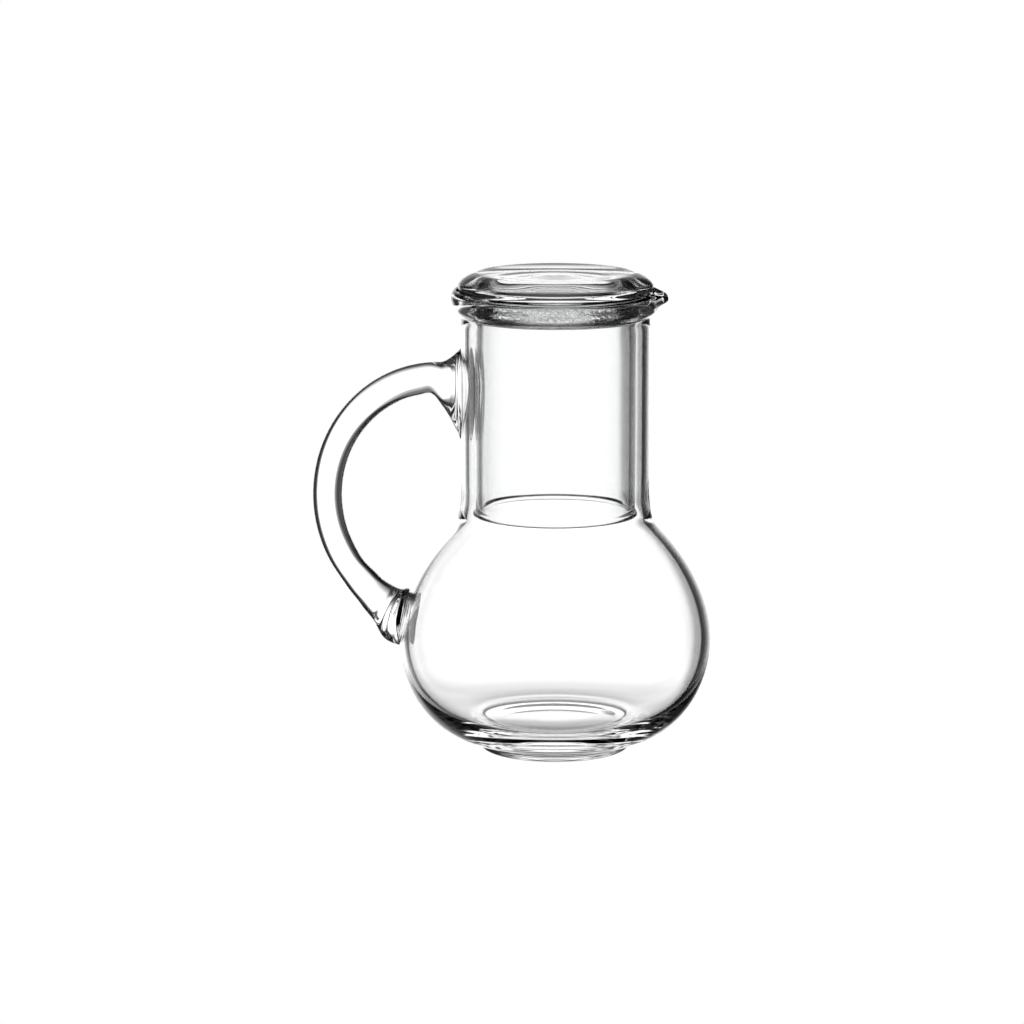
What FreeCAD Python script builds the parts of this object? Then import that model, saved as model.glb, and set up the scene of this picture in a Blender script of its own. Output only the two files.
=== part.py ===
"""Glass water jug whose lid is a drinking tumbler that hangs upside down in the neck.

Three pieces of glass come apart or were joined hot:
  jug_body     blown vessel: foot, round belly, straight neck, beaded rim and pouring lip
  handle       solid glass rod, fused to the neck and to the belly
  tumbler_lid  pressed tumbler: its thick flanged base caps the rim, its cup hangs in the neck

Frame: millimetres, +Z up along the jug's axis, origin at the centre of the foot's bearing
face. The pouring lip points along +X and the handle lies along -X, in the plane Y = 0.
Every profile is drawn in the plane X = 0 as (radius, height) and turned about the Z axis.
"""

import FreeCAD
import Part

import math
import os

from FreeCAD import Vector

# --- Driving dimensions, millimetres ---------------------------------------------------------

# jug body, outside
FOOT_RADIUS = 35.5
FOOT_HEIGHT = 4.2
FOOT_EDGE = 0.8
HEEL_RADIUS = 42.0
PUNT_RADIUS = 31.0
PUNT_DEPTH = 2.6
BELLY_RADIUS = 74.4
BELLY_HEIGHT = 53.4
SHOULDER_RISE = 75.4
NECK_RADIUS = 44.7
NECK_START = 130.0
SHOULDER_BLEND = 5.0
RIM_RADIUS = 49.6
RIM_TOP = 220.2
RIM_CREST_RADIUS = 47.4

# the cone in the mouth on which the lid sits, as (radius, height), and the lid's play in it
SEAT_LOW = (42.0, 209.0)
SEAT_HIGH = (45.1, 216.5)
SEAT_GAP = 0.12
BORE_TOP = 202.0

# jug body, glass thickness
NECK_WALL = 3.6
BELLY_WALL = 4.2
SHOULDER_WALL = 4.8
HEEL_WALL = 9.6
FLOOR_RADIUS = 34.3
FLOOR_THICKNESS = 12.6

# exponents of the belly's curves
BOWL_ROUNDNESS = (0.584, 1.017)
SHOULDER_ROUNDNESS = (1.096, 1.131)

# pouring lip
LIP_REACH = 53.4
LIP_HALF_WIDTH = 13.0
LIP_DROP = 3.6
LIP_TIP_DROP = 3.4

# tumbler that serves as the lid
LID_RADIUS = 46.1
LID_HEIGHT = 8.0
LID_WIDEST = 2.1
LID_RIDGE_RADIUS = 36.5
LID_RECESS = 1.8
STEP_DEPTH = 2.4
CUP_RADIUS = 38.0
CUP_WALL = 2.9
CUP_RIM_HEIGHT = 112.6
CUP_BEAD = 1.0
CUP_END_HEIGHT = 220.0

# handle
ROD_RADIUS = 7.0
ROD_CROWN_RADIUS = 7.4
ROD_TOP_HEIGHT = 177.2
ROD_REACH = 109.9
ROD_REACH_HEIGHT = 119.0
ROD_CROWN_X = 55.0
ROD_LOWER_BEND = 60.0
ROD_LOWER_TURN = math.radians(38.0)

# fillets between the handle and the neck, as (length along the handle, height at the neck)
FILLET_ABOVE = (10.0, 7.3)
FILLET_BELOW = (16.0, 22.8)
FILLET_SIDE = (8.0, 2.5)

SECTION_POINTS = 12


# --- Small geometry helpers ------------------------------------------------------------------


def in_profile(radius, height):
    """A point of a turned profile, in the plane X = 0."""
    return Vector(0, radius, height)


def line(start, end):
    return Part.LineSegment(in_profile(*start), in_profile(*end)).toShape()


def curve(points, start_direction=None, end_direction=None):
    """A smooth curve through (radius, height) points. Its end directions are held if both are given."""
    spline = Part.BSplineCurve()
    places = [in_profile(*p) for p in points]
    if start_direction and end_direction:
        spline.interpolate(
            Points=places,
            InitialTangent=in_profile(*start_direction),
            FinalTangent=in_profile(*end_direction),
        )
    else:
        spline.interpolate(Points=places)
    return spline.toShape()


def turned(edges):
    """The solid that a closed profile sweeps when it turns about the Z axis."""
    face = Part.Face(Part.Wire(edges))
    return face.revolve(Vector(0, 0, 0), Vector(0, 0, 1), 360)


def swell(radius, height, roundness, turn):
    """A point on a quarter of a superellipse. turn runs from 0 at the widest place to pi / 2."""
    across, along = roundness
    return radius * math.cos(turn) ** across, height * math.sin(turn) ** along


def stations(first, last, count):
    return [first + (last - first) * i / (count - 1) for i in range(count)]


# --- Jug body --------------------------------------------------------------------------------


def bowl_points(count=9):
    """Points of the outside from the belly's widest place down to the heel, along a
    superellipse that would close just above the table."""
    last_turn = math.acos((HEEL_RADIUS / BELLY_RADIUS) ** (1 / BOWL_ROUNDNESS[0]))
    depth = BELLY_HEIGHT - FOOT_EDGE
    points = []
    for turn in stations(0.0, last_turn, count):
        r, drop = swell(BELLY_RADIUS, depth, BOWL_ROUNDNESS, turn)
        points.append((r, BELLY_HEIGHT - drop))
    return points


def inner_bowl_points():
    """The same points moved in by the wall, which thickens from the belly to the heel."""
    outer = bowl_points()
    last = len(outer) - 1
    points = []
    for i, (r, z) in enumerate(outer):
        before = outer[max(i - 1, 0)]
        after = outer[min(i + 1, last)]
        dr, dz = after[0] - before[0], after[1] - before[1]
        length = math.hypot(dr, dz)
        wall = BELLY_WALL + (HEEL_WALL - BELLY_WALL) * (i / last) ** 3
        points.append((r + wall * dz / length, z - wall * dr / length))
    points[0] = (BELLY_RADIUS - BELLY_WALL, BELLY_HEIGHT)
    return points


def shoulder_points(belly_radius, neck_radius, rise, count=9):
    """Points from the belly's widest place up to the neck. The superellipse's distance from the
    neck is softened by SHOULDER_BLEND, so that it runs into the neck without an edge."""
    reach = belly_radius - neck_radius
    softened = SHOULDER_BLEND**2 / 4
    radius = neck_radius + reach - softened / reach
    last_turn = math.radians(59)
    points = []
    for turn in stations(0.0, last_turn, count):
        r, climb = swell(radius, rise, SHOULDER_ROUNDNESS, turn)
        gap = r - neck_radius
        blended = (gap + math.hypot(gap, SHOULDER_BLEND)) / 2
        points.append((neck_radius + blended, BELLY_HEIGHT + climb))
    return points


def body_outline():
    """Edges of the outside, from the foot's edge up to the crest of the rim."""
    down = (0, -1)
    up = (0, 1)
    bowl = bowl_points()
    foot_top = (FOOT_RADIUS, FOOT_HEIGHT - 2.0)
    heel = bowl[-1]
    shoulder = shoulder_points(BELLY_RADIUS, NECK_RADIUS, SHOULDER_RISE)
    neck_low = (NECK_RADIUS, NECK_START)
    neck_high = (NECK_RADIUS, RIM_TOP - 14.5)
    flare = [
        neck_high,
        (NECK_RADIUS + 0.5, RIM_TOP - 12.0),
        (NECK_RADIUS + 1.8, RIM_TOP - 10.8),
        (RIM_RADIUS - 1.6, RIM_TOP - 9.2),
        (RIM_RADIUS - 0.5, RIM_TOP - 6.4),
        (RIM_RADIUS, RIM_TOP - 3.6),
        (RIM_RADIUS - 0.6, RIM_TOP - 1.2),
        rim_crest(),
    ]
    return [
        line((FOOT_RADIUS - FOOT_EDGE, 0), (FOOT_RADIUS, FOOT_EDGE)),
        line((FOOT_RADIUS, FOOT_EDGE), foot_top),
        curve([foot_top, (FOOT_RADIUS + 2.4, FOOT_HEIGHT + 0.2), heel], up, (1, 0.33)),
        curve(bowl[::-1], (1, 0.33), up),
        curve(shoulder + [neck_low], up, up),
        line(neck_low, neck_high),
        curve(flare, up, (-1, 0)),
    ]


def rim_crest():
    """The highest circle of the rim."""
    return RIM_CREST_RADIUS, RIM_TOP


def mouth_edges():
    """Edges of the mouth's inside: from the crest, over the seat, down to the neck's bore."""
    bore = (NECK_RADIUS - NECK_WALL, BORE_TOP)
    cone = (SEAT_LOW[0] - SEAT_HIGH[0], SEAT_LOW[1] - SEAT_HIGH[1])
    return [
        curve([rim_crest(), (RIM_CREST_RADIUS - 0.7, RIM_TOP - 1.4), SEAT_HIGH], (-1, 0), cone),
        line(SEAT_HIGH, SEAT_LOW),
        curve([SEAT_LOW, bore], cone, (0, -1)),
    ]


def body_inside():
    """Edges of the inside, from the crest of the rim down to the floor's centre."""
    neck = NECK_RADIUS - NECK_WALL
    belly = BELLY_RADIUS - BELLY_WALL
    floor = FLOOR_THICKNESS
    shoulder = shoulder_points(belly, neck, SHOULDER_RISE - SHOULDER_WALL)
    bowl = inner_bowl_points()
    heel_run = (bowl[-1][0] - bowl[-2][0], bowl[-1][1] - bowl[-2][1])
    floor_edge = (FLOOR_RADIUS, floor + 0.3)
    neck_high = (neck, BORE_TOP)
    neck_low = (neck, NECK_START)
    return mouth_edges() + [
        line(neck_high, neck_low),
        curve([neck_low] + shoulder[::-1], (0, -1), (0, -1)),
        curve(bowl, (0, -1), heel_run),
        curve([bowl[-1], (FLOOR_RADIUS + 2.3, floor + 0.55), floor_edge], heel_run, (-1, 0)),
        curve([floor_edge, (FLOOR_RADIUS / 2, floor + 0.1), (0, floor)], (-1, 0), (-1, 0)),
    ]


def body_underside():
    """Edges under the foot: the hollow punt and the flat ring that the jug stands on."""
    punt_top = (0, PUNT_DEPTH)
    punt_edge = (PUNT_RADIUS, 0)
    return [
        line((0, FLOOR_THICKNESS), punt_top),
        curve(
            [punt_top, (PUNT_RADIUS * 0.6, PUNT_DEPTH * 0.8), punt_edge],
            (1, 0),
            (1, -0.25),
        ),
        line(punt_edge, (FOOT_RADIUS - FOOT_EDGE, 0)),
    ]


def lip_section(x, half_width, half_height, height):
    """An oval wire across the pouring lip, in the plane at x."""
    points = []
    for i in range(SECTION_POINTS):
        turn = 2 * math.pi * i / SECTION_POINTS
        points.append(
            Vector(
                x, half_width * math.cos(turn), height + half_height * math.sin(turn)
            )
        )
    spline = Part.BSplineCurve()
    spline.interpolate(Points=points, PeriodicFlag=True)
    return Part.Wire([spline.toShape()])


def pouring_lip():
    """The beak that is drawn out of the rim, and the channel that is cut along it."""
    middle = RIM_TOP - LIP_DROP
    tip = RIM_TOP - LIP_TIP_DROP
    beak = Part.makeLoft(
        [
            lip_section(RIM_RADIUS - 6.5, LIP_HALF_WIDTH, 3.3, middle - 0.2),
            lip_section(RIM_RADIUS - 0.6, LIP_HALF_WIDTH * 0.66, 3.3, middle),
            lip_section(RIM_RADIUS + 1.2, LIP_HALF_WIDTH * 0.40, 2.7, middle + 0.1),
            lip_section(LIP_REACH - 1.0, LIP_HALF_WIDTH * 0.17, 1.5, tip + 0.1),
            lip_section(LIP_REACH, LIP_HALF_WIDTH * 0.07, 0.7, tip),
        ],
        True,
    )
    channel = Part.makeLoft(
        [
            lip_section(CUP_RADIUS + 1.5, LIP_HALF_WIDTH * 0.62, 3.2, RIM_TOP + 1.0),
            lip_section(RIM_RADIUS - 2.0, LIP_HALF_WIDTH * 0.46, 3.0, RIM_TOP + 0.6),
            lip_section(LIP_REACH - 2.2, LIP_HALF_WIDTH * 0.20, 1.9, RIM_TOP + 0.2),
            lip_section(LIP_REACH + 1.0, LIP_HALF_WIDTH * 0.09, 1.2, RIM_TOP - 0.8),
        ],
        True,
    )
    return beak, channel


def mouth_hollow():
    """The space inside the mouth, which keeps the beak's root clear of the lid."""
    crest = rim_crest()
    bore = (NECK_RADIUS - NECK_WALL, BORE_TOP)
    return turned(
        mouth_edges()
        + [
            line(bore, (0, bore[1])),
            line((0, bore[1]), (0, RIM_TOP)),
            line((0, RIM_TOP), crest),
        ]
    )


def make_jug_body():
    glass = turned(body_outline() + body_inside() + body_underside())
    beak, channel = pouring_lip()
    return glass.fuse(beak.cut(mouth_hollow())).cut(channel).removeSplitter()


def filled_body():
    """The jug's outside as a solid with no hollow, which shapes the ends of the handle."""
    crest = rim_crest()
    top = (0, RIM_TOP)
    bottom = (0, 0)
    foot = (FOOT_RADIUS - FOOT_EDGE, 0)
    return turned(
        body_outline() + [line(crest, top), line(top, bottom), line(bottom, foot)]
    )


# --- Handle ----------------------------------------------------------------------------------


def handle_section(x, height, half_width, half_depth, lean):
    """An oval wire round the handle. lean is the angle of the rod's run below the -X axis, so the
    oval's depth is measured square to the run, and its width along Y."""
    out = Vector(-math.sin(lean), 0, math.cos(lean))
    points = []
    for i in range(SECTION_POINTS):
        turn = 2 * math.pi * i / SECTION_POINTS
        middle = Vector(-x, 0, height)
        points.append(
            middle
            + Vector(0, half_width * math.cos(turn), 0)
            + out * (half_depth * math.sin(turn))
        )
    spline = Part.BSplineCurve()
    spline.interpolate(Points=points, PeriodicFlag=True)
    return Part.Wire([spline.toShape()])


def fillet(distance, length, height):
    """How far the glass stands out from the rod at a distance from the wall."""
    return height * max(1 - distance / length, 0.0) ** 1.5


def upper_section(x, height, radius, lean):
    """An oval of the handle's upper half, with the fillets that join it to the neck."""
    near = max(x - NECK_RADIUS, 0.0)
    above = radius + fillet(near, *FILLET_ABOVE)
    below = radius + fillet(near, *FILLET_BELOW)
    side = radius + fillet(near, *FILLET_SIDE)
    shift = (above - below) / 2
    x += math.sin(lean) * shift
    height += math.cos(lean) * shift
    return handle_section(x, height, side, (above + below) / 2, lean)


def handle_sections():
    """Ovals from the neck, over the crown, down the rod and into the belly."""
    sections = []
    for distance in (-2.4, 0.6, 2.6, 5.0, 7.6):
        sections.append(
            upper_section(NECK_RADIUS + distance, ROD_TOP_HEIGHT, ROD_CROWN_RADIUS, 0)
        )
    rise = ROD_TOP_HEIGHT - ROD_REACH_HEIGHT
    run = ROD_REACH - ROD_CROWN_X
    for degrees in (90, 86, 81, 72, 60, 48, 36, 24, 12):
        turn = math.radians(degrees)
        x = ROD_CROWN_X + run * math.cos(turn)
        height = ROD_REACH_HEIGHT + rise * math.sin(turn)
        lean = math.atan2(rise * math.cos(turn), run * math.sin(turn))
        radius = ROD_RADIUS + (ROD_CROWN_RADIUS - ROD_RADIUS) * math.sin(turn) ** 2
        sections.append(upper_section(x, height, radius, lean))
    for turn in stations(0.0, ROD_LOWER_TURN, 5):
        x = ROD_REACH - ROD_LOWER_BEND * (1 - math.cos(turn))
        height = ROD_REACH_HEIGHT - ROD_LOWER_BEND * math.sin(turn)
        sections.append(
            handle_section(x, height, ROD_RADIUS, ROD_RADIUS, math.pi / 2 + turn)
        )
    sections += [
        # the pad on the belly spreads up and down against the wall
        handle_section(93.0, 77.2, 7.3, 7.6, math.radians(130)),
        handle_section(89.7, 73.6, 7.5, 7.9, math.radians(131.5)),
        handle_section(85.5, 69.6, 8.0, 8.9, math.radians(135)),
        handle_section(81.0, 65.6, 8.7, 10.4, math.radians(145)),
        handle_section(77.6, 62.0, 9.6, 13.2, math.radians(158)),
        handle_section(73.4, 60.6, 10.4, 14.0, math.radians(170)),
        handle_section(70.1, 60.0, 10.8, 14.4, math.radians(173)),
    ]
    return sections


def make_handle():
    rod = Part.makeLoft(handle_sections(), True)
    return rod.cut(filled_body())


# --- Tumbler lid -----------------------------------------------------------------------------


def lid_edge_points(count=7):
    """The rounded edge of the tumbler's base, from its widest place up to the ridge on top."""
    widest = RIM_TOP + LID_WIDEST
    climb = LID_HEIGHT - LID_WIDEST
    points = []
    for turn in stations(0.0, math.pi / 2, count):
        out, up = swell(LID_RADIUS - LID_RIDGE_RADIUS, climb, (1.25, 1.25), turn)
        points.append((LID_RIDGE_RADIUS + out, widest + up))
    return points


def lid_top_edges():
    """Edges of the lid's top: the shallow recess, the ridge round it and the rounded edge."""
    top = RIM_TOP + LID_HEIGHT
    edge = lid_edge_points()
    cone = (SEAT_LOW[0] - SEAT_HIGH[0], SEAT_LOW[1] - SEAT_HIGH[1])
    seat_high = (SEAT_HIGH[0] - SEAT_GAP, SEAT_HIGH[1])
    recess = [
        (0, top - LID_RECESS),
        (LID_RIDGE_RADIUS * 0.6, top - LID_RECESS * 0.85),
        edge[-1],
    ]
    return [
        curve(recess, (1, 0), (1, 0)),
        curve(edge[::-1], (1, 0), (0, -1)),
        curve([edge[0], (LID_RADIUS - 0.2, RIM_TOP), seat_high], (0, -1), cone),
    ]


def cup_outside_edges():
    """Edges from the seat's foot, in over a rounded step and down the wall to the bead."""
    down = (0, -1)
    seat_low = (SEAT_LOW[0] - SEAT_GAP, SEAT_LOW[1])
    seat_high = (SEAT_HIGH[0] - SEAT_GAP, SEAT_HIGH[1])
    cup_top = (CUP_RADIUS, SEAT_LOW[1] - STEP_DEPTH)
    step_middle = ((SEAT_LOW[0] + CUP_RADIUS) / 2, SEAT_LOW[1] - STEP_DEPTH * 0.45)
    bead_top = (CUP_RADIUS, CUP_RIM_HEIGHT + 4.0)
    return [
        line(seat_high, seat_low),
        curve([seat_low, step_middle, cup_top], (-0.3, -1), down),
        line(cup_top, bead_top),
    ]


def cup_inside_edges():
    """Edges from the bead, up the bore, round the thick corner to the middle of the closed end."""
    up, down, inward = (0, 1), (0, -1), (-1, 0)
    inner = CUP_RADIUS - CUP_WALL
    bead_top = (CUP_RADIUS, CUP_RIM_HEIGHT + 4.0)
    bead_inside = (inner, CUP_RIM_HEIGHT + 3.0)
    taper_start = (inner, CUP_END_HEIGHT - 40.0)
    bead = [
        bead_top,
        (CUP_RADIUS + CUP_BEAD, CUP_RIM_HEIGHT + 1.3),
        (CUP_RADIUS - 0.9, CUP_RIM_HEIGHT),
        (inner + 0.2, CUP_RIM_HEIGHT + 1.2),
        bead_inside,
    ]
    corner = [
        taper_start,
        (inner - 0.3, CUP_END_HEIGHT - 20.0),
        (inner - 1.0, CUP_END_HEIGHT - 10.0),
        (inner - 2.4, CUP_END_HEIGHT - 5.0),
        (inner - 5.0, CUP_END_HEIGHT - 1.8),
        (inner - 9.5, CUP_END_HEIGHT - 0.2),
        (0, CUP_END_HEIGHT),
    ]
    return [
        curve(bead, down, up),
        line(bead_inside, taper_start),
        curve(corner, up, inward),
    ]


def make_tumbler_lid():
    core = [line((0, CUP_END_HEIGHT), (0, RIM_TOP + LID_HEIGHT - LID_RECESS))]
    return turned(lid_top_edges() + cup_outside_edges() + cup_inside_edges() + core)


# --- Output ----------------------------------------------------------------------------------

NODES = {
    "jug_body": make_jug_body,
    "handle": make_handle,
    "tumbler_lid": make_tumbler_lid,
}

os.makedirs("parts", exist_ok=True)
for name, make in NODES.items():
    shape = make()
    shape.exportStep(os.path.join("parts", name + ".step"))
    print(name, "solids:", len(shape.Solids), "volume, cm3:", round(shape.Volume / 1000, 1))
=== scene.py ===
"""Looks of the glass jug with a tumbler lid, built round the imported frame.

Each piece of glass is a dense closed mesh made here, because light bent by glass shows every
facet: the jug and the tumbler are turned profiles, and the handle is a swept rod. The handle's
ends are cut to the jug's wall, and the two faces that are fused there are left without an
optical surface, so that light passes from the rod into the wall as it does in one melt.

Sizes are millimetres, and become metres when a mesh is made. The pouring lip points along +X
and the handle along -X.
"""

import math

import bmesh
import bpy
import numpy as np
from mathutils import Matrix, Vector


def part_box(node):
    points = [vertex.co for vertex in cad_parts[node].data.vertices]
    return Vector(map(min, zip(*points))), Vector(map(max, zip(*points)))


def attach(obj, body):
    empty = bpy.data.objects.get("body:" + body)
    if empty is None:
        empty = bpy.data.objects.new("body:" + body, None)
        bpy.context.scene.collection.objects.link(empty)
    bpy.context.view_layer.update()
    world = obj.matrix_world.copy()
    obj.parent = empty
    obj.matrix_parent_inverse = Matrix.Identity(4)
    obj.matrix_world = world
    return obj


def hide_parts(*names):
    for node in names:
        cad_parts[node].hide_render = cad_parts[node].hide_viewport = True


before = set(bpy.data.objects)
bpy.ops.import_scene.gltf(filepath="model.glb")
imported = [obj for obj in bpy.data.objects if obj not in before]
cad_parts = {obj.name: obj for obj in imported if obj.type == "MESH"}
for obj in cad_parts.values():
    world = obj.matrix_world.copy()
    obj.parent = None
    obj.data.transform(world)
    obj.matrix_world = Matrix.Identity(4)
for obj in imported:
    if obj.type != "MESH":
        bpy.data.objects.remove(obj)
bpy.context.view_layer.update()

MM = 0.001

# --- Sizes taken from the frame, millimetres -------------------------------------------------

body_low, body_high = (np.array(corner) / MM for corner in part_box("jug_body"))
handle_low, handle_high = (np.array(corner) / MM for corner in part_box("handle"))
lid_low, lid_high = (np.array(corner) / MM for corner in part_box("tumbler_lid"))

BELLY_RADIUS = (body_high[1] - body_low[1]) / 2
RIM_TOP = body_high[2]
LID_RADIUS = (lid_high[0] - lid_low[0]) / 2
LID_TOP = lid_high[2]
CUP_LOW = lid_low[2]
HANDLE_REACH = -handle_low[0]

# --- Sizes of the glass, millimetres ---------------------------------------------------------

# jug, outside
FOOT_RADIUS = 35.5
FOOT_EDGE = 0.8
HEEL_RADIUS = 42.0
PUNT_RADIUS = 31.0
PUNT_DEPTH = 2.6
BELLY_HEIGHT = 53.4
SHOULDER_RISE = 75.4
NECK_RADIUS = 44.7
NECK_START = 130.0
SHOULDER_BLEND = 5.0
SHOULDER_END = math.radians(59)
BOWL_BOTTOM = 0.8
RIM_RADIUS = 49.6
RIM_CREST_RADIUS = 47.4
FLARE_START = RIM_TOP - 14.5

# jug, thickness of the glass
NECK_WALL = 3.6
BELLY_WALL = 4.2
SHOULDER_WALL = 4.8
HEEL_WALL = 9.6
FLOOR_RADIUS = 34.3
FLOOR_HEIGHT = 12.6

# the cone on which the lid sits, as (radius, height), and the air left between the two pieces
SEAT_LOW = (42.0, 209.0)
SEAT_HIGH = (45.1, 216.5)
SEAT_GAP = 0.12
BORE_TOP = 202.0

# exponents of the belly's superellipses
BOWL_ROUNDNESS = (0.584, 1.017)
SHOULDER_ROUNDNESS = (1.096, 1.131)

# pouring lip
LIP_REACH = 53.4
LIP_SPREAD = math.radians(17)
LIP_START = 211.5
LIP_DIP = 0.4
LIP_TIP_ROUNDING = math.radians(1.1)
LIP_SHARPNESS = 1.7

# tumbler lid
LID_RIDGE_RADIUS = 36.5
LID_RECESS = 1.8
LID_WIDEST_SHARE = 0.26
LID_EDGE_ROUNDNESS = 1.25
CUP_RADIUS = 38.0
CUP_WALL = 2.9
CUP_BEAD = 1.0
CUP_END = 220.0
STEP_DEPTH = 2.4

# handle
ROD_RADIUS = 7.0
CROWN_ROD_RADIUS = 7.4
CROWN_HEIGHT = 177.2
CROWN_X = 55.0
BEND_HEIGHT = 119.0
LOWER_BEND = 60.0
LOWER_TURN = math.radians(38)

# fillets between the handle and the neck, as (length along the handle, height at the neck)
FILLET_ABOVE = (10.0, 7.3)
FILLET_BELOW = (16.0, 22.8)
FILLET_SIDE = (8.0, 2.5)

# folds at the handle's lower end; the pitches are radians per millimetre along the rod
FOLDS_END = 16.0
FOLD_HEIGHT = 1.5
CREASE_PITCH = 0.95
RIPPLE_PITCH = 0.5

# mesh density
BODY_SEGMENTS = 384
LIP_CROWDING = 0.55
LID_SEGMENTS = 320
ROD_SEGMENTS = 72
ROD_RINGS = 260

# how much a radian of lean counts against a millimetre when the rod's stations are spaced out
LEAN_WEIGHT = 20

# camera: a long lens on a 36 mm sensor, 1.9 m away, above the lid and looking down
CAMERA_TURN = math.radians(8)
CAMERA_DISTANCE = 1874.0
CAMERA_HEIGHT = 467.8
CAMERA_AIM_HEIGHT = 113.6
CAMERA_SIDE = -20.5
CAMERA_LENS = 141.0


# --- Curves ----------------------------------------------------------------------------------


def spline(points, steps, start=None, end=None):
    """Smooth curve through the points: a cubic spline over chord length, with a continuous bend.
    start and end hold the directions at its ends; without them the ends run out straight."""
    p = np.array(points, dtype=float)
    chord = np.linalg.norm(np.diff(p, axis=0), axis=1)
    t = np.concatenate([[0.0], np.cumsum(chord)])
    n = len(p)
    system = np.zeros((n, n))
    wanted = np.zeros_like(p)
    for i in range(1, n - 1):
        system[i, i - 1] = chord[i]
        system[i, i] = 2 * (chord[i - 1] + chord[i])
        system[i, i + 1] = chord[i - 1]
        before = (p[i] - p[i - 1]) / chord[i - 1]
        after = (p[i + 1] - p[i]) / chord[i]
        wanted[i] = 3 * (chord[i] * before + chord[i - 1] * after)
    for row, step, direction in ((0, 1, start), (n - 1, -1, end)):
        system[row, row] = 1.0
        if direction is not None:
            wanted[row] = np.array(direction, dtype=float) / np.linalg.norm(direction)
        else:
            system[row, row] = 2.0
            system[row, row + step] = 1.0
            other = row + step
            wanted[row] = 3 * (p[other] - p[row]) / (t[other] - t[row])
    slope = np.linalg.solve(system, wanted)
    at = np.linspace(0.0, t[-1], steps + 1)
    piece = np.clip(np.searchsorted(t, at, side="right") - 1, 0, n - 2)
    h = chord[piece][:, None]
    u = ((at - t[piece])[:, None]) / h
    a, b = p[piece], p[piece + 1]
    ma, mb = slope[piece] * h, slope[piece + 1] * h
    return (
        a * (1 + 2 * u) * (1 - u) ** 2
        + ma * u * (1 - u) ** 2
        + b * u**2 * (3 - 2 * u)
        + mb * u**2 * (u - 1)
    )


def straight(start, end, steps):
    return np.linspace(start, end, steps + 1)


def joined(parts):
    """One outline from parts that each start where the last one ended."""
    outline = [parts[0]]
    for part in parts[1:]:
        outline.append(part[1:])
    return np.concatenate(outline)


def eased(x, low, high):
    """0 at low, 1 at high, with a smooth start and end."""
    u = np.clip((x - low) / (high - low), 0.0, 1.0)
    return u * u * u * (u * (6 * u - 15) + 10)


# --- Meshes ----------------------------------------------------------------------------------


def new_piece(name, points, faces):
    """A smooth-shaded mesh object from points in millimetres."""
    mesh = bpy.data.meshes.new(name)
    mesh.from_pydata((np.asarray(points) * MM).tolist(), [], faces)
    mesh.polygons.foreach_set("use_smooth", [True] * len(mesh.polygons))
    mesh.update()
    piece = bpy.data.objects.new(name, mesh)
    bpy.context.scene.collection.objects.link(piece)
    return piece


def grid_faces(rings, segments, first=0):
    """Quads between neighbouring rings of points, each ring closed on itself."""
    faces = []
    for i in range(rings - 1):
        for j in range(segments):
            k = (j + 1) % segments
            low, high = first + i * segments, first + (i + 1) * segments
            faces.append((low + j, low + k, high + k, high + j))
    return faces


def fan_faces(centre, ring_start, segments, flipped):
    """Triangles from a centre point to a ring."""
    faces = []
    for j in range(segments):
        k = (j + 1) % segments
        a, b = ring_start + j, ring_start + k
        faces.append((centre, a, b) if flipped else (centre, b, a))
    return faces


def turned(name, outline, turns, reshape=None):
    """A closed piece of glass: the outline turned about Z. It starts and ends on the axis, and
    runs from the underside out and up. reshape(points, turn) may then move the points."""
    rings = outline[1:-1]
    segments = len(turns)
    cos, sin = np.cos(turns), np.sin(turns)
    points = np.empty((len(rings), segments, 3))
    points[:, :, 0] = rings[:, :1] * cos
    points[:, :, 1] = rings[:, :1] * sin
    points[:, :, 2] = rings[:, 1:]
    if reshape:
        points = reshape(points, turns)
    flat = points.reshape(-1, 3)
    ends = np.array([[0, 0, outline[0, 1]], [0, 0, outline[-1, 1]]])
    faces = grid_faces(len(rings), segments)
    last = (len(rings) - 1) * segments
    faces += fan_faces(len(flat), 0, segments, False)
    faces += fan_faces(len(flat) + 1, last, segments, True)
    return new_piece(name, np.concatenate([flat, ends]), faces)


# --- Jug body --------------------------------------------------------------------------------


def bowl(radius, bottom, roundness, end_radius, steps):
    """The belly's lower half, from its widest place down to end_radius."""
    last = math.acos((end_radius / radius) ** (1 / roundness[0]))
    turn = np.linspace(0.0, last, steps + 1)
    r = radius * np.cos(turn) ** roundness[0]
    z = BELLY_HEIGHT - (BELLY_HEIGHT - bottom) * np.sin(turn) ** roundness[1]
    return np.stack([r, z], axis=1)


def inner_bowl(steps):
    """The inside of the belly's lower half. The wall thickens from the belly to the heel."""
    outer = bowl(BELLY_RADIUS, BOWL_BOTTOM, BOWL_ROUNDNESS, HEEL_RADIUS, steps)
    along = np.gradient(outer, axis=0)
    along /= np.linalg.norm(along, axis=1)[:, None]
    inward = np.stack([along[:, 1], -along[:, 0]], axis=1)
    down = np.linspace(0.0, 1.0, steps + 1)[:, None]
    wall = BELLY_WALL + (HEEL_WALL - BELLY_WALL) * down**3
    inner = outer + inward * wall
    inner[0] = (BELLY_RADIUS - BELLY_WALL, BELLY_HEIGHT)
    return inner


def shoulder(belly_radius, neck_radius, rise, steps):
    """The belly's upper half, which runs softly into the neck."""
    reach = belly_radius - neck_radius
    radius = belly_radius - SHOULDER_BLEND**2 / 4 / reach
    turn = np.linspace(0.0, SHOULDER_END, steps + 1)
    r = radius * np.cos(turn) ** SHOULDER_ROUNDNESS[0]
    z = BELLY_HEIGHT + rise * np.sin(turn) ** SHOULDER_ROUNDNESS[1]
    gap = r - neck_radius
    r = neck_radius + (gap + np.hypot(gap, SHOULDER_BLEND)) / 2
    return np.stack([r, z], axis=1)


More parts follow.
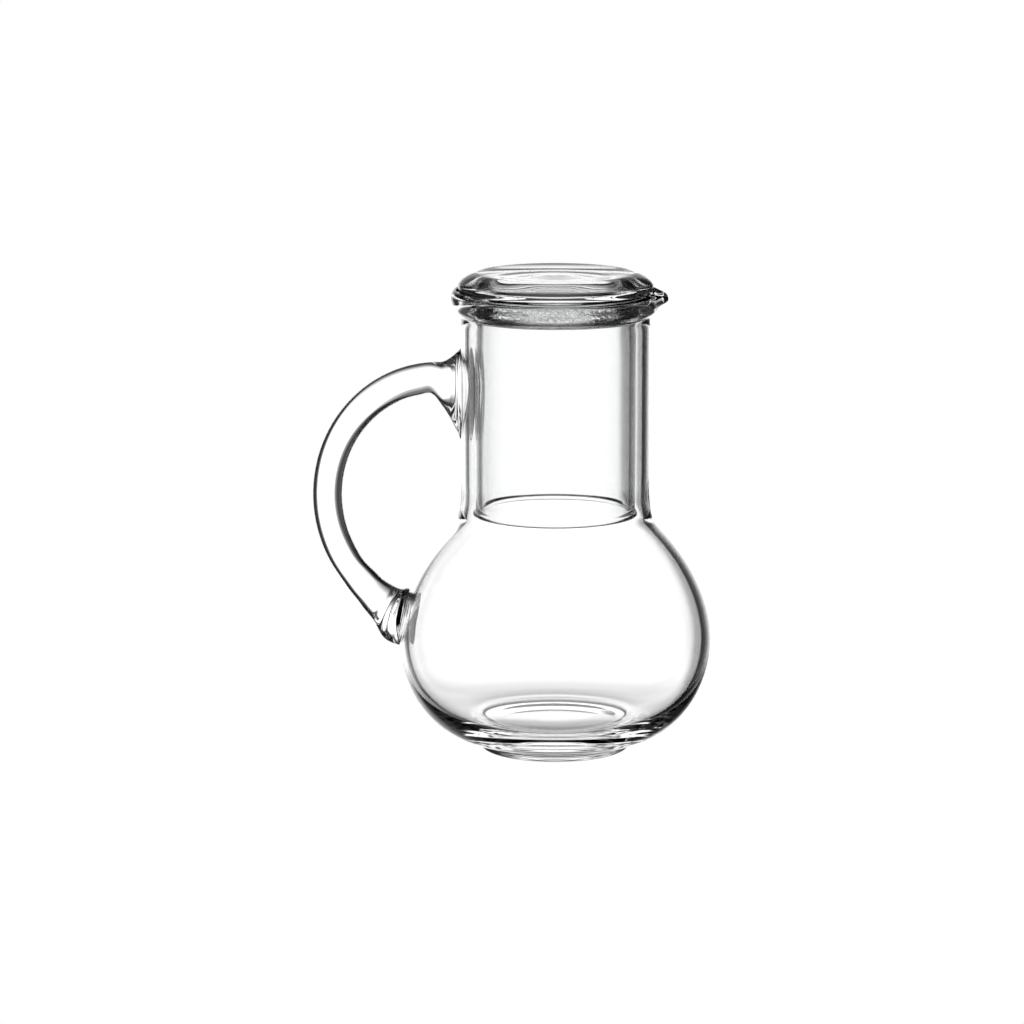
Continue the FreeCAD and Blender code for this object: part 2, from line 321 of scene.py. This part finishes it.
def shoulder_to_neck(curve, neck_radius, steps):
    """Carries the shoulder's last slope on into the straight neck."""
    slope = curve[-1] - curve[-2]
    return spline([curve[-1], (neck_radius, NECK_START)], steps, slope, (0, 1))


def body_outside():
    """From the middle of the punt, under the foot and up the outside to the rim's crest."""
    foot_top = (FOOT_RADIUS, 2.2)
    lower = bowl(BELLY_RADIUS, BOWL_BOTTOM, BOWL_ROUNDNESS, HEEL_RADIUS, 46)[::-1]
    heel_slope = lower[1] - lower[0]
    upper = shoulder(BELLY_RADIUS, NECK_RADIUS, SHOULDER_RISE, 40)
    neck_high = (NECK_RADIUS, FLARE_START)
    flare = [
        neck_high,
        (NECK_RADIUS + 0.5, RIM_TOP - 12.0),
        (NECK_RADIUS + 1.8, RIM_TOP - 10.8),
        (RIM_RADIUS - 1.6, RIM_TOP - 9.2),
        (RIM_RADIUS - 0.5, RIM_TOP - 6.4),
        (RIM_RADIUS, RIM_TOP - 3.6),
        (RIM_RADIUS - 0.6, RIM_TOP - 1.2),
        (RIM_CREST_RADIUS, RIM_TOP),
    ]
    punt = [(0, PUNT_DEPTH), (PUNT_RADIUS * 0.6, PUNT_DEPTH * 0.8), (PUNT_RADIUS, 0)]
    foot_low = (FOOT_RADIUS - FOOT_EDGE, 0)
    return joined(
        [
            spline(punt, 18, (1, 0), (1, -0.25)),
            straight(punt[-1], foot_low, 3),
            spline([foot_low, (FOOT_RADIUS, FOOT_EDGE)], 5, (1, 0), (0, 1)),
            straight((FOOT_RADIUS, FOOT_EDGE), foot_top, 2),
            spline([foot_top, (FOOT_RADIUS + 2.2, 3.9), lower[0]], 10, (0, 1), heel_slope),
            lower,
            upper,
            shoulder_to_neck(upper, NECK_RADIUS, 6),
            straight((NECK_RADIUS, NECK_START), neck_high, 22),
            spline(flare, 30, (0, 1), (-1, 0)),
        ]
    )


def body_inside():
    """From the rim's crest over the seat and down the inside to the middle of the floor."""
    bore = NECK_RADIUS - NECK_WALL
    belly = BELLY_RADIUS - BELLY_WALL
    cone = np.array(SEAT_LOW) - np.array(SEAT_HIGH)
    bore_top = (bore, BORE_TOP)
    crest = [
        (RIM_CREST_RADIUS, RIM_TOP),
        (RIM_CREST_RADIUS - 0.7, RIM_TOP - 1.4),
        SEAT_HIGH,
    ]
    upper = shoulder(belly, bore, SHOULDER_RISE - SHOULDER_WALL, 34)
    into_shoulder = shoulder_to_neck(upper, bore, 6)[::-1]
    lower = inner_bowl(44)
    slope = lower[-1] - lower[-2]
    floor_edge = (FLOOR_RADIUS, FLOOR_HEIGHT + 0.3)
    floor = [floor_edge, (FLOOR_RADIUS / 2, FLOOR_HEIGHT + 0.1), (0, FLOOR_HEIGHT)]
    crease = [lower[-1], (FLOOR_RADIUS + 2.3, FLOOR_HEIGHT + 0.55), floor_edge]
    return joined(
        [
            spline(crest, 10, (-1, 0), cone),
            straight(SEAT_HIGH, SEAT_LOW, 6),
            spline([SEAT_LOW, bore_top], 8, cone, (0, -1)),
            straight(bore_top, (bore, NECK_START), 22),
            into_shoulder,
            upper[::-1],
            lower,
            spline(crease, 12, slope, (-1, 0)),
            spline(floor, 16, (-1, 0), (-1, 0)),
        ]
    )


def draw_out_lip(points, turns):
    """Pulls the rim outwards in a pinched V at turn 0, and lets its crest dip there."""
    around = np.abs((turns + math.pi) % (2 * math.pi) - math.pi)
    pinch = np.hypot(around, LIP_TIP_ROUNDING) - LIP_TIP_ROUNDING
    pull = np.clip(1 - pinch / LIP_SPREAD, 0.0, 1.0) ** LIP_SHARPNESS
    height = eased(points[:, :, 2], LIP_START, RIM_TOP - 3.0)
    reach = LIP_REACH - RIM_RADIUS
    radius = np.hypot(points[:, :, 0], points[:, :, 1])
    radius = np.maximum(radius, 1e-6)
    grown = 1 + reach * pull[None, :] * height / radius
    moved = points.copy()
    moved[:, :, 0] *= grown
    moved[:, :, 1] *= grown
    near_crest = eased(points[:, :, 2], RIM_TOP - 12, RIM_TOP - 1)
    moved[:, :, 2] -= LIP_DIP * pull[None, :] * near_crest
    return moved


def make_body():
    """The turned vessel. Its points crowd together at the pouring lip, which is the finest part."""
    outline = joined([body_outside(), body_inside()])
    even = np.linspace(0, 2 * math.pi, BODY_SEGMENTS, endpoint=False)
    turns = even - LIP_CROWDING * np.sin(even)
    return turned("jug_body_glass", outline, turns, draw_out_lip)


# --- Tumbler lid -----------------------------------------------------------------------------


def lid_outline():
    """From the middle of the cup's closed end, down the bore, round the bead, up the outside,
    over the seat and the rounded edge, and in to the middle of the recess on top."""
    inner = CUP_RADIUS - CUP_WALL
    cone = np.array(SEAT_HIGH) - np.array(SEAT_LOW)
    seat_low = (SEAT_LOW[0] - SEAT_GAP, SEAT_LOW[1])
    seat_high = (SEAT_HIGH[0] - SEAT_GAP, SEAT_HIGH[1])
    cup_top = (CUP_RADIUS, SEAT_LOW[1] - STEP_DEPTH)
    step = ((SEAT_LOW[0] + CUP_RADIUS) / 2, SEAT_LOW[1] - STEP_DEPTH * 0.45)
    bead_top = (CUP_RADIUS, CUP_LOW + 4.0)
    bead_inside = (inner, CUP_LOW + 3.0)
    taper = (inner, CUP_END - 40.0)
    widest = (LID_RADIUS, RIM_TOP + (LID_TOP - RIM_TOP) * LID_WIDEST_SHARE)
    corner = [
        (0, CUP_END),
        (inner - 9.5, CUP_END - 0.2),
        (inner - 5.0, CUP_END - 1.8),
        (inner - 2.4, CUP_END - 5.0),
        (inner - 1.0, CUP_END - 10.0),
        (inner - 0.3, CUP_END - 20.0),
        taper,
    ]
    bead = [
        bead_inside,
        (inner + 0.2, CUP_LOW + 1.2),
        (CUP_RADIUS - 0.9, CUP_LOW),
        (CUP_RADIUS + CUP_BEAD, CUP_LOW + 1.3),
        bead_top,
    ]
    turn = np.linspace(0, math.pi / 2, 25)
    edge = np.stack(
        [
            LID_RIDGE_RADIUS + (LID_RADIUS - LID_RIDGE_RADIUS) * np.cos(turn) ** LID_EDGE_ROUNDNESS,
            widest[1] + (LID_TOP - widest[1]) * np.sin(turn) ** LID_EDGE_ROUNDNESS,
        ],
        axis=1,
    )
    recess = [
        edge[-1],
        (LID_RIDGE_RADIUS * 0.6, LID_TOP - LID_RECESS * 0.85),
        (0, LID_TOP - LID_RECESS),
    ]
    return joined(
        [
            spline(corner, 60, (1, 0), (0, -1)),
            straight(taper, bead_inside, 14),
            spline(bead, 26, (0, -1), (0, 1)),
            straight(bead_top, cup_top, 22),
            spline([cup_top, step, seat_low], 12, (0, 1), (0.3, 1)),
            straight(seat_low, seat_high, 14),
            spline([seat_high, (LID_RADIUS - 0.2, RIM_TOP), widest], 14, cone, (0, 1)),
            edge,
            spline(recess, 20, (-1, 0), (-1, 0)),
        ]
    )


def make_lid():
    turns = np.linspace(0, 2 * math.pi, LID_SEGMENTS, endpoint=False)
    return turned("tumbler_lid_glass", lid_outline(), turns)


# --- Handle ----------------------------------------------------------------------------------


def fillet(distance, length, height):
    """How far the glass stands out from the rod at a distance from the wall."""
    return height * max(1 - distance / length, 0.0) ** 1.5


def upper_station(x, height, radius, lean):
    """A place on the handle's upper half, with the fillets that join it to the neck."""
    near = max(x - NECK_RADIUS, 0.0)
    above = radius + fillet(near, *FILLET_ABOVE)
    below = radius + fillet(near, *FILLET_BELOW)
    side = radius + fillet(near, *FILLET_SIDE)
    shift = (above - below) / 2
    middle = (x + math.sin(lean) * shift, height + math.cos(lean) * shift)
    return (*middle, side, (above + below) / 2, lean)


def rod_stations():
    """Places along the rod, each as (x, height, half width, half depth, lean). lean is the angle
    by which the rod's run has turned from pointing straight out."""
    rows = []
    for distance in (-2.4, -1.0, 0.0, 1.0, 2.2, 3.8, 5.6, 7.8):
        rows.append(upper_station(NECK_RADIUS + distance, CROWN_HEIGHT, CROWN_ROD_RADIUS, 0.0))
    reach = HANDLE_REACH - ROD_RADIUS
    rise = CROWN_HEIGHT - BEND_HEIGHT
    run = reach - CROWN_X
    for turn in np.radians([90, 87, 84, 80, 72, 60, 48, 36, 24, 12, 0]):
        x = CROWN_X + run * math.cos(turn)
        height = BEND_HEIGHT + rise * math.sin(turn)
        lean = math.atan2(rise * math.cos(turn), run * math.sin(turn))
        radius = ROD_RADIUS + (CROWN_ROD_RADIUS - ROD_RADIUS) * math.sin(turn) ** 2
        rows.append(upper_station(x, height, radius, lean))
    for turn in np.linspace(0.0, LOWER_TURN, 5)[1:]:
        x = reach - LOWER_BEND * (1 - math.cos(turn))
        height = BEND_HEIGHT - LOWER_BEND * math.sin(turn)
        rows.append((x, height, ROD_RADIUS, ROD_RADIUS, math.pi / 2 + turn))
    rows += [
        (93.0, 77.2, 7.3, 7.6, math.radians(130)),
        (89.7, 73.6, 7.5, 7.9, math.radians(131.5)),
        (85.5, 69.6, 8.0, 8.9, math.radians(135)),
        (81.0, 65.6, 8.7, 10.4, math.radians(145)),
        (77.6, 62.0, 9.6, 13.2, math.radians(158)),
        (73.4, 60.6, 10.4, 14.0, math.radians(170)),
        (70.1, 60.0, 10.8, 14.4, math.radians(173)),
    ]
    return rows


def folds(rings, around):
    """Creases that the tongs leave where the soft rod is pressed on to the belly, as how far each
    point stands out. They lie on the rod's two sides and fade away along it."""
    steps = np.linalg.norm(np.diff(rings[:, :2], axis=0), axis=1)
    from_end = np.concatenate([np.cumsum(steps[::-1])[::-1], [0.0]])[:, None]
    zone = eased(from_end, FOLDS_END, FOLDS_END - 4.0) * np.cos(around) ** 2
    crease = np.sin(CREASE_PITCH * from_end + 1.6 * np.sin(around) + 0.8 * np.cos(around))
    ripple = np.sin(RIPPLE_PITCH * from_end - 5.0 * np.sin(around))
    return zone * FOLD_HEIGHT * (0.7 * crease + 0.3 * ripple)


def make_rod():
    """The rod as a closed sweep whose two ends are sunk a little way into the wall."""
    rows = np.array(rod_stations())
    weights = [1, 1, 1, 1, LEAN_WEIGHT]
    smooth = spline(rows * weights, ROD_RINGS - 1) / weights
    x, height, half_width, half_depth, lean = (smooth[:, i : i + 1] for i in range(5))
    around = np.linspace(2 * math.pi, 0, ROD_SEGMENTS, endpoint=False)
    fold = folds(smooth, around)
    across = (half_width + fold) * np.cos(around)
    out = half_depth * np.sin(around)
    points = np.stack(
        [
            -x - np.sin(lean) * out,
            across,
            height + np.cos(lean) * out,
        ],
        axis=2,
    )
    flat = points.reshape(-1, 3)
    ends = points[[0, -1]].mean(axis=1)
    faces = grid_faces(ROD_RINGS, ROD_SEGMENTS)
    faces += fan_faces(len(flat), 0, ROD_SEGMENTS, False)
    faces += fan_faces(len(flat) + 1, (ROD_RINGS - 1) * ROD_SEGMENTS, ROD_SEGMENTS, True)
    return new_piece("handle_glass", np.concatenate([flat, ends]), faces)


# --- Fusing the handle to the wall -----------------------------------------------------------

GLASS_SLOT = 0
FUSED_SLOT = 1
WELD_DISTANCE = 0.002


def boolean_faces(piece, other, operation):
    """(points, faces, from_piece) of a boolean of two closed meshes. from_piece tells, face by
    face, whether it lay on piece rather than on other."""
    for index, source in enumerate((piece, other)):
        source.data.materials.clear()
        source.data.materials.append(None)
        source.data.materials.append(None)
        source.data.polygons.foreach_set("material_index", [index] * len(source.data.polygons))
    modifier = piece.modifiers.new("boolean", "BOOLEAN")
    modifier.operation = operation
    modifier.solver = "EXACT"
    modifier.object = other
    modifier.material_mode = "INDEX"
    result = piece.evaluated_get(bpy.context.evaluated_depsgraph_get()).to_mesh()
    points = np.empty(len(result.vertices) * 3)
    result.vertices.foreach_get("co", points)
    faces = [tuple(face.vertices) for face in result.polygons]
    slots = np.empty(len(result.polygons), dtype=int)
    result.polygons.foreach_get("material_index", slots)
    piece.modifiers.remove(modifier)
    return points.reshape(-1, 3), faces, slots == 0


def replace_mesh(piece, parts):
    """Gives piece a mesh made of parts, each (points, faces, slot, flipped), joined at their
    shared edges."""
    points, faces, slots = [], [], []
    for part_points, part_faces, slot, flipped in parts:
        first = len(points)
        points.extend(part_points.tolist())
        for face in part_faces:
            order = face[::-1] if flipped else face
            faces.append(tuple(first + v for v in order))
            slots.append(slot)
    mesh = bpy.data.meshes.new(piece.name)
    mesh.from_pydata(points, [], faces)
    mesh.polygons.foreach_set("material_index", slots)
    mesh.polygons.foreach_set("use_smooth", [True] * len(faces))
    mesh.update()
    old = piece.data
    piece.data = mesh
    bpy.data.meshes.remove(old)
    weld(mesh)


def weld(mesh):
    """Joins points that lie together, drops the points that no face uses, and makes the edges
    between two slots sharp, because the glass turns a corner there."""
    work = bmesh.new()
    work.from_mesh(mesh)
    loose = [v for v in work.verts if not v.link_faces]
    bmesh.ops.delete(work, geom=loose, context="VERTS")
    bmesh.ops.remove_doubles(work, verts=work.verts, dist=WELD_DISTANCE * MM)
    for edge in work.edges:
        slots = {face.material_index for face in edge.link_faces}
        edge.smooth = len(slots) < 2
    work.to_mesh(mesh)
    work.free()


def fuse(body, rod):
    """Cuts the rod to the wall and marks the shared patch on both pieces as fused."""
    outer_points, outer_faces, outer_body = boolean_faces(body, rod, "UNION")
    inner_points, inner_faces, inner_body = boolean_faces(body, rod, "INTERSECT")
    body_faces = [f for f, mine in zip(outer_faces, outer_body) if mine]
    rod_faces = [f for f, mine in zip(outer_faces, outer_body) if not mine]
    patch = [f for f, mine in zip(inner_faces, inner_body) if mine]
    replace_mesh(
        body,
        [
            (outer_points, body_faces, GLASS_SLOT, False),
            (inner_points, patch, FUSED_SLOT, False),
        ],
    )
    replace_mesh(
        rod,
        [
            (outer_points, rod_faces, GLASS_SLOT, False),
            (inner_points, patch, FUSED_SLOT, True),
        ],
    )


# --- Materials -------------------------------------------------------------------------------

GLASS_IOR = 1.52
STIPPLES_PER_METRE = 800
STIPPLE_DEPTH = 0.07


def add_math(tree, operation, *values):
    node = tree.nodes.new("ShaderNodeMath")
    node.operation = operation
    for socket, value in zip(node.inputs, values):
        if isinstance(value, bpy.types.NodeSocket):
            tree.links.new(value, socket)
        else:
            socket.default_value = value
    return node.outputs[0]


def add_fade(tree, value, none, full):
    """0 where value is at none, 1 where it is at full, in millimetres."""
    fade = tree.nodes.new("ShaderNodeMapRange")
    fade.interpolation_type = "SMOOTHSTEP"
    fade.inputs["From Min"].default_value = none * MM
    fade.inputs["From Max"].default_value = full * MM
    tree.links.new(value, fade.inputs["Value"])
    return fade.outputs["Result"]


def seat_stipple(tree, place, normal):
    """Small pressed dimples round the cone on which the lid sits. The rest stays smooth."""
    split = tree.nodes.new("ShaderNodeSeparateXYZ")
    tree.links.new(place, split.inputs[0])
    squares = [add_math(tree, "MULTIPLY", split.outputs[axis], split.outputs[axis]) for axis in "XY"]
    radius = add_math(tree, "SQRT", add_math(tree, "ADD", *squares))
    outside = add_fade(tree, radius, CUP_RADIUS + 1.2, CUP_RADIUS + 2.0)
    above = add_fade(tree, split.outputs["Z"], SEAT_LOW[1] - 2.0, SEAT_LOW[1] - 1.2)
    below = add_fade(tree, split.outputs["Z"], SEAT_HIGH[1] + 0.6, SEAT_HIGH[1] - 0.2)
    zone = add_math(tree, "MULTIPLY", add_math(tree, "MULTIPLY", outside, above), below)
    cells = tree.nodes.new("ShaderNodeTexVoronoi")
    cells.inputs["Scale"].default_value = STIPPLES_PER_METRE
    tree.links.new(place, cells.inputs["Vector"])
    bump = tree.nodes.new("ShaderNodeBump")
    bump.inputs["Distance"].default_value = STIPPLE_DEPTH * MM
    tree.links.new(zone, bump.inputs["Strength"])
    tree.links.new(cells.outputs["Distance"], bump.inputs["Height"])
    tree.links.new(normal, bump.inputs["Normal"])
    return bump.outputs["Normal"]


def clear_glass(name, tint, deep_tint, wave_scale, wave_depth, stippled=False):
    """Clear soda glass: a faint uneven tint, and a slow waviness left by the forming."""
    material = bpy.data.materials.new(name)
    material.use_nodes = True
    nodes, links = material.node_tree.nodes, material.node_tree.links
    shader = nodes["Principled BSDF"]
    shader.inputs["IOR"].default_value = GLASS_IOR
    shader.inputs["Transmission Weight"].default_value = 1.0
    shader.inputs["Roughness"].default_value = 0.0
    place = nodes.new("ShaderNodeTexCoord")
    cloud = nodes.new("ShaderNodeTexNoise")
    cloud.inputs["Scale"].default_value = wave_scale * 0.6
    cloud.inputs["Detail"].default_value = 1.0
    mix = nodes.new("ShaderNodeMix")
    mix.data_type = "RGBA"
    mix.inputs["A"].default_value = (*tint, 1)
    mix.inputs["B"].default_value = (*deep_tint, 1)
    links.new(place.outputs["Object"], cloud.inputs["Vector"])
    links.new(cloud.outputs["Fac"], mix.inputs["Factor"])
    links.new(mix.outputs["Result"], shader.inputs["Base Color"])
    wave = nodes.new("ShaderNodeTexNoise")
    wave.inputs["Scale"].default_value = wave_scale
    wave.inputs["Detail"].default_value = 1.5
    wave.inputs["Roughness"].default_value = 0.35
    bump = nodes.new("ShaderNodeBump")
    bump.inputs["Strength"].default_value = 1.0
    bump.inputs["Distance"].default_value = wave_depth * MM
    links.new(place.outputs["Object"], wave.inputs["Vector"])
    links.new(wave.outputs["Fac"], bump.inputs["Height"])
    normal = bump.outputs["Normal"]
    if stippled:
        normal = seat_stipple(material.node_tree, place.outputs["Object"], normal)
    links.new(normal, shader.inputs["Normal"])
    return material


def fused_joint():
    """The face where two gathers of glass became one: light passes straight through it."""
    material = bpy.data.materials.new("fused_joint")
    material.use_nodes = True
    nodes, links = material.node_tree.nodes, material.node_tree.links
    nodes.remove(nodes["Principled BSDF"])
    through = nodes.new("ShaderNodeBsdfTransparent")
    links.new(through.outputs["BSDF"], nodes["Material Output"].inputs["Surface"])
    return material


# --- Studio ----------------------------------------------------------------------------------

# The studio turns with the camera, as a photographer's set does: a glowing white wall behind the
# object with dark flags on both sides of it, a pale table that is clear to light the glass has
# bent, and a dim room. The camera itself sees plain white round the object.

WALL_DISTANCE = 0.5
WALL_HALF_WIDTH = 1.6
WALL_HALF_HEIGHT = 1.2
STUDIO_STRENGTH = 1.45
FLOOR_HALF_SIZE = 4000.0
FLOOR_DROP = 0.05

# the brightness stops of the wall run to this many metres either way
STOPS_REACH = 1.2

# brightness across the wall, by metres to the right of the object's axis
ACROSS_STOPS = [
    (-1.20, 0.02),
    (-0.90, 0.03),
    (-0.66, 0.08),
    (-0.52, 0.05),
    (-0.40, 0.05),
    (-0.33, 0.18),
    (-0.25, 1.0),
    (0.13, 1.0),
    (0.20, 0.22),
    (0.27, 0.03),
    (0.60, 0.02),
    (1.20, 0.02),
]

# brightness of the wall by metres above the line of sight
UP_STOPS = [
    (-1.20, 0.01),
    (-0.62, 0.02),
    (-0.50, 0.04),
    (-0.38, 0.14),
    (-0.28, 0.35),
    (-0.20, 0.70),
    (-0.12, 1.0),
    (0.22, 1.0),
    (0.30, 0.40),
    (0.42, 0.15),
    (1.20, 0.05),
]

# brightness of the room by degrees above the horizon of the camera
ROOM_STOPS = [
    (-90, 0.05),
    (-50, 0.06),
    (-20, 0.02),
    (0, 0.01),
    (30, 0.02),
    (60, 0.06),
    (90, 0.12),
]


def add_ramp(tree, value, low, high, stops):
    """Grey level by value, through (value, level) stops that lie between low and high."""
    place = tree.nodes.new("ShaderNodeMapRange")
    place.inputs["From Min"].default_value = low
    place.inputs["From Max"].default_value = high
    node = tree.nodes.new("ShaderNodeValToRGB")
    node.color_ramp.interpolation = "EASE"
    elements = node.color_ramp.elements
    elements.remove(elements[-1])
    for index, (at, level) in enumerate(stops):
        position = (at - low) / (high - low)
        element = elements[0] if index == 0 else elements.new(position)
        element.position = position
        element.color = (level, level, level, 1)
    tree.links.new(value, place.inputs["Value"])
    tree.links.new(place.outputs["Result"], node.inputs["Fac"])
    return node.outputs["Color"]


def white_to_camera(tree, level):
    """Plain white to the camera, and the given level to every ray that glass has bent."""
    path = tree.nodes.new("ShaderNodeLightPath")
    mix = tree.nodes.new("ShaderNodeMix")
    mix.data_type = "FLOAT"
    mix.inputs["B"].default_value = 1.0
    tree.links.new(path.outputs["Is Camera Ray"], mix.inputs["Factor"])
    tree.links.new(level, mix.inputs["A"])
    return mix.outputs["Result"]


def bare_material(name):
    """A material with an empty surface, and its node tree."""
    material = bpy.data.materials.new(name)
    material.use_nodes = True
    tree = material.node_tree
    tree.nodes.remove(tree.nodes["Principled BSDF"])
    return material, tree


def wall_material():
    """The wall glows by the place as the camera sees it."""
    material, tree = bare_material("backdrop")
    place = tree.nodes.new("ShaderNodeTexCoord")
    split = tree.nodes.new("ShaderNodeSeparateXYZ")
    tree.links.new(place.outputs["Camera"], split.inputs[0])
    across = add_math(tree, "ADD", split.outputs["X"], CAMERA_SIDE * MM)
    sideways = add_ramp(tree, across, -STOPS_REACH, STOPS_REACH, ACROSS_STOPS)
    upwards = add_ramp(tree, split.outputs["Y"], -STOPS_REACH, STOPS_REACH, UP_STOPS)
    level = add_math(tree, "MULTIPLY", sideways, upwards)
    level = add_math(tree, "MULTIPLY", level, STUDIO_STRENGTH)
    glow = tree.nodes.new("ShaderNodeEmission")
    tree.links.new(white_to_camera(tree, level), glow.inputs["Strength"])
    tree.links.new(glow.outputs[0], tree.nodes["Material Output"].inputs["Surface"])
    return material


def floor_material():
    """A pale table top to the camera. Light that the glass has bent goes on down through it, as
    through a clear table, so that the jug's foot stands in the same light as its neck."""
    material, tree = bare_material("floor")
    glow = tree.nodes.new("ShaderNodeEmission")
    clear = tree.nodes.new("ShaderNodeBsdfTransparent")
    path = tree.nodes.new("ShaderNodeLightPath")
    mix = tree.nodes.new("ShaderNodeMixShader")
    tree.links.new(path.outputs["Is Camera Ray"], mix.inputs["Fac"])
    tree.links.new(clear.outputs[0], mix.inputs[1])
    tree.links.new(glow.outputs[0], mix.inputs[2])
    tree.links.new(mix.outputs[0], tree.nodes["Material Output"].inputs["Surface"])
    return material


def make_world():
    world = bpy.data.worlds.new("studio")
    bpy.context.scene.world = world
    world.use_nodes = True
    tree = world.node_tree
    place = tree.nodes.new("ShaderNodeTexCoord")
    unit = tree.nodes.new("ShaderNodeVectorMath")
    unit.operation = "NORMALIZE"
    split = tree.nodes.new("ShaderNodeSeparateXYZ")
    tree.links.new(place.outputs["Camera"], unit.inputs[0])
    tree.links.new(unit.outputs[0], split.inputs[0])
    lift = add_math(tree, "ARCSINE", split.outputs["Y"])
    lift = add_math(tree, "MULTIPLY", lift, 180 / math.pi)
    level = add_ramp(tree, lift, -90, 90, ROOM_STOPS)
    tree.links.new(white_to_camera(tree, level), tree.nodes["Background"].inputs["Strength"])
    tree.nodes["Background"].inputs["Color"].default_value = (1, 1, 1, 1)


def make_floor():
    """A wide pale floor that lies just under the jug's foot."""
    half = FLOOR_HALF_SIZE
    points = [(-half, -half, 0), (half, -half, 0), (half, half, 0), (-half, half, 0)]
    floor = new_piece("floor", np.array(points) - [0, 0, FLOOR_DROP], [(0, 1, 2, 3)])
    floor.data.materials.append(floor_material())


def make_wall(camera):
    """The glowing wall, square to the line of sight and fixed to the camera."""
    depth = -(CAMERA_DISTANCE * MM + WALL_DISTANCE)
    x, y = WALL_HALF_WIDTH, WALL_HALF_HEIGHT
    points = np.array([(-x, -y, depth), (x, -y, depth), (x, y, depth), (-x, y, depth)])
    wall = new_piece("backdrop", points / MM, [(0, 1, 2, 3)])
    wall.data.materials.append(wall_material())
    wall.parent = camera


def make_camera():
    ahead = Vector((-math.sin(CAMERA_TURN), math.cos(CAMERA_TURN), 0))
    right = Vector((math.cos(CAMERA_TURN), math.sin(CAMERA_TURN), 0))
    aim = right * CAMERA_SIDE + Vector((0, 0, CAMERA_AIM_HEIGHT))
    place = right * CAMERA_SIDE - ahead * CAMERA_DISTANCE + Vector((0, 0, CAMERA_HEIGHT))
    data = bpy.data.cameras.new("camera")
    data.lens = CAMERA_LENS
    data.sensor_width = 36
    data.clip_end = 50
    camera = bpy.data.objects.new("camera", data)
    camera.location = place * MM
    camera.rotation_euler = (aim - place).to_track_quat("-Z", "Y").to_euler()
    bpy.context.scene.collection.objects.link(camera)
    bpy.context.scene.camera = camera
    return camera


def set_light_paths():
    """Lets light pass through every wall of the nested glass."""
    scene = bpy.context.scene
    scene.view_settings.view_transform = "Standard"
    scene.cycles.max_bounces = 32
    scene.cycles.transmission_bounces = 32
    scene.cycles.glossy_bounces = 16
    scene.cycles.transparent_max_bounces = 32


# --- Assembly --------------------------------------------------------------------------------

body = make_body()
rod = make_rod()
lid = make_lid()
fuse(body, rod)

blown = clear_glass("blown_glass", (0.999, 1.0, 0.9995), (0.992, 0.997, 0.995), 14, 0.10)
pressed = clear_glass("pressed_glass", (0.999, 1.0, 1.0), (0.993, 0.997, 0.997), 18, 0.06, True)
fused = fused_joint()

for piece, node, carrier, slot, glass in (
    (body, "jug_body", "jug", "blown_glass", blown),
    (rod, "handle", "jug", "blown_glass", blown),
    (lid, "tumbler_lid", "lid", "pressed_glass", pressed),
):
    piece.data.materials.append(glass)
    if piece is not lid:
        piece.data.materials.append(fused)
    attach(piece, carrier)
    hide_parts(node)

make_floor()
make_world()
make_wall(make_camera())
set_light_paths()
